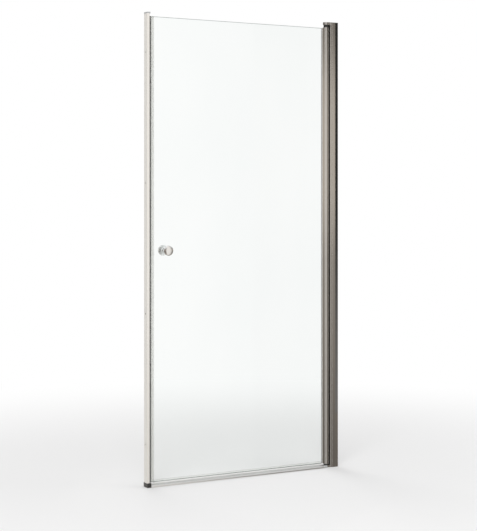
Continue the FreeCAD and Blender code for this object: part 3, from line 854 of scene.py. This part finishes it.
def glow(tree, colour, strength):
    """An emission of one colour, with a strength from the tree or of one."""
    node = tree.nodes.new("ShaderNodeEmission")
    node.inputs["Color"].default_value = (*colour, 1)
    if strength:
        tree.links.new(strength, node.inputs["Strength"])
    return node.outputs["Emission"]


def mixed(tree, share, first, second):
    """Two shaders mixed by a share of the second."""
    node = tree.nodes.new("ShaderNodeMixShader")
    tree.links.new(share, node.inputs["Fac"])
    tree.links.new(first, node.inputs[1])
    tree.links.new(second, node.inputs[2])
    return node.outputs["Shader"]


def white_level(tree):
    """The white background's strength: one to the camera, glass and metal, and softer to the rest."""
    path = tree.nodes.new("ShaderNodeLightPath").outputs
    seen = path["Is Camera Ray"]
    for kind in ("Is Glossy Ray", "Is Transmission Ray"):
        seen = combined(tree, "MAXIMUM", seen, path[kind])
    level = tree.nodes.new("ShaderNodeMapRange")
    level.inputs["To Min"].default_value = white_soft_level
    level.inputs["To Max"].default_value = 1
    tree.links.new(seen, level.inputs["Value"])
    return level.outputs["Result"]


def make_floor():
    """A pale floor that fades out into the white of the background."""
    bm = bmesh.new()
    bmesh.ops.create_circle(bm, cap_ends=True, segments=96, radius=floor_radius)
    floor = new_object("floor", bm)
    floor.location.z = -floor_drop
    floor.visible_glossy = False
    material, tree, shader = new_material("pale_floor")
    shader.inputs["Base Color"].default_value = (*floor_colour, 1)
    shader.inputs["Roughness"].default_value = 0.8
    shader.inputs["Specular IOR Level"].default_value = 0.1
    coords = tree.nodes.new("ShaderNodeTexCoord")
    length = tree.nodes.new("ShaderNodeVectorMath")
    length.operation = "LENGTH"
    tree.links.new(coords.outputs["Object"], length.inputs[0])
    fade = smooth_step(tree, length.outputs["Value"], *floor_fade, 0, 1)
    faded = mixed(tree, fade, shader.outputs["BSDF"], glow(tree, white, white_level(tree)))
    tree.links.new(faded, tree.nodes["Material Output"].inputs["Surface"])
    floor.data.materials.append(material)


def glowing_material(name):
    """A new material with an empty tree, and that tree with its coordinates and its output."""
    material = bpy.data.materials.new(name)
    material.use_nodes = True
    tree = material.node_tree
    tree.nodes.clear()
    coords = tree.nodes.new("ShaderNodeTexCoord").outputs["Object"]
    out = tree.nodes.new("ShaderNodeOutputMaterial").inputs["Surface"]
    return material, tree, coords, out


def only_reflected(made):
    """Makes an object part of the studio that shows in nothing but reflections."""
    for kind in ("visible_camera", "visible_diffuse", "visible_transmission", "visible_shadow"):
        setattr(made, kind, False)


def split_axes(tree, coords):
    """The X, Y and Z of coordinates."""
    split = tree.nodes.new("ShaderNodeSeparateXYZ")
    tree.links.new(coords, split.inputs["Vector"])
    return split.outputs


def ramp_around(tree, coords, stops):
    """Greys at angles to the right of the door's front, in degrees from -180 to 180."""
    around = tree.nodes.new("ShaderNodeTexGradient")
    around.gradient_type = "RADIAL"
    tree.links.new(coords, around.inputs["Vector"])
    ramp = tree.nodes.new("ShaderNodeValToRGB")
    elements = ramp.color_ramp.elements
    # The gradient has gone a quarter of its way round where it meets the front.
    spots = sorted(((0.25 + degrees / 360) % 1, grey) for degrees, grey in stops)
    elements[0].position = spots[0][0]
    elements[1].position = spots[-1][0]
    for position, _ in spots[1:-1]:
        elements.new(position)
    for element, (_, grey) in zip(elements, spots):
        element.color = (grey, grey, grey, 1)
    tree.links.new(around.outputs["Fac"], ramp.inputs["Fac"])
    return ramp.outputs["Color"]


def make_studio_wall():
    """A round warm wall that only reflections show, lightest about eye level and white high above.

    Two soft dark flags stand on it, behind the door on the left and on the right.
    """
    bm = bmesh.new()
    bmesh.ops.create_cone(bm, segments=128, radius1=wall_radius, radius2=wall_radius, depth=wall_depth)
    wall = new_object("studio_wall", bm)
    wall.data.shade_smooth()
    material, tree, coords, out = glowing_material("studio_wall")
    height = split_axes(tree, coords)["Z"]
    right_flag = list(zip(flag_angles, (0, 1, 1, 0)))
    left_flag = [(-degrees, grey) for degrees, grey in right_flag]
    flags = ramp_around(tree, coords, left_flag + right_flag)
    band = all_steps(tree, height, (flag_foot, flag_head))
    shade = all_steps(tree, height, (wall_foot, wall_lower, wall_middle, wall_upper))
    topping = smooth_step(tree, height, *wall_top)
    topped = mixed(tree, topping, glow(tree, wall_colour, shade), glow(tree, wall_top_colour, None))
    flag_share = combined(tree, "MULTIPLY", flags, band)
    tree.links.new(mixed(tree, flag_share, topped, glow(tree, flag_colour, None)), out)
    wall.data.materials.append(material)
    only_reflected(wall)


def make_card(name, start, end, low, high, foot, head, side=1):
    """An upright card near the door that only reflections show, from start to end seen from above.

    Its grey goes from foot to head up to half its height, and its end keeps a share of that.
    """
    bm = bmesh.new()
    corners = [(*start, low), (*end, low), (*end, high), (*start, high)]
    bm.faces.new([bm.verts.new(corner) for corner in corners])
    card = new_object(name, bm)
    material, tree, coords, out = glowing_material(name)
    axes = split_axes(tree, coords)
    grey = smooth_step(tree, axes["Z"], low, (low + high) / 2, foot, head)
    share = smooth_step(tree, axes["X"], (start[0] + end[0]) / 2, end[0], 1, side)
    tree.links.new(glow(tree, card_colour, combined(tree, "MULTIPLY", grey, share)), out)
    card.data.materials.append(material)
    only_reflected(card)


def make_world():
    """A plain white studio all round."""
    world = bpy.data.worlds.new("studio")
    bpy.context.scene.world = world
    world.use_nodes = True
    tree = world.node_tree
    background = tree.nodes["Background"]
    background.inputs["Color"].default_value = (*white, 1)
    tree.links.new(white_level(tree), background.inputs["Strength"])


def make_lamp(name, place, aim, size, power):
    """A large soft lamp."""
    lamp = bpy.data.lights.new(name, "AREA")
    lamp.shape = "DISK"
    lamp.size = size
    lamp.energy = power
    holder = bpy.data.objects.new(name, lamp)
    holder.location = place
    holder.rotation_euler = (Vector(aim) - Vector(place)).to_track_quat("-Z", "Y").to_euler()
    holder.visible_glossy = False
    holder.visible_transmission = False
    bpy.context.collection.objects.link(holder)


def make_camera():
    """The photograph's camera, level, with its horizon set by the shift."""
    camera = bpy.data.cameras.new("camera")
    camera.sensor_width = 36
    camera.lens = camera_focal_pixels * camera.sensor_width / photo_height
    camera.shift_y = (camera_horizon_pixel - photo_height / 2) / photo_height
    holder = bpy.data.objects.new("camera", camera)
    holder.location = camera_place
    holder.rotation_euler = (math.radians(90), 0, -math.radians(camera_yaw))
    bpy.context.collection.objects.link(holder)
    bpy.context.scene.camera = holder


make_channel()
make_post()
make_wiper()
make_strike_cover()
make_threshold()
make_brackets_and_caps()
make_snap_caps()
make_stile()
make_gasket()
make_edge_seal()
make_glass()
make_knobs()
dress_cad_nodes()
make_floor()
make_studio_wall()
make_card("hinge_flag", start=(0.533, -0.168), end=(0.66, -0.168), low=0.2, high=2.1, foot=0.16, head=0.02)
make_card("strike_light", start=(-0.34, -1.0), end=(0.38, -0.6), low=-0.35, high=2.2, foot=0.8, head=0.97,
          side=0.45)
make_card("strike_card", start=(-0.66, 0.2), end=(-0.46, 0.2), low=-0.1, high=2.1, foot=1.0, head=1.0)
make_world()
make_lamp("key", place=(-3.0, -4.0, 4.5), aim=(0, 0, 1.0), size=3.0, power=130)
make_lamp("fill", place=(3.5, -3.0, 2.5), aim=(0, 0, 0.9), size=3.0, power=45)
make_lamp("back", place=(0.5, 4.5, 4.0), aim=(0, 0, 1.0), size=3.0, power=60)
make_camera()
bpy.context.scene.view_settings.view_transform = "Standard"
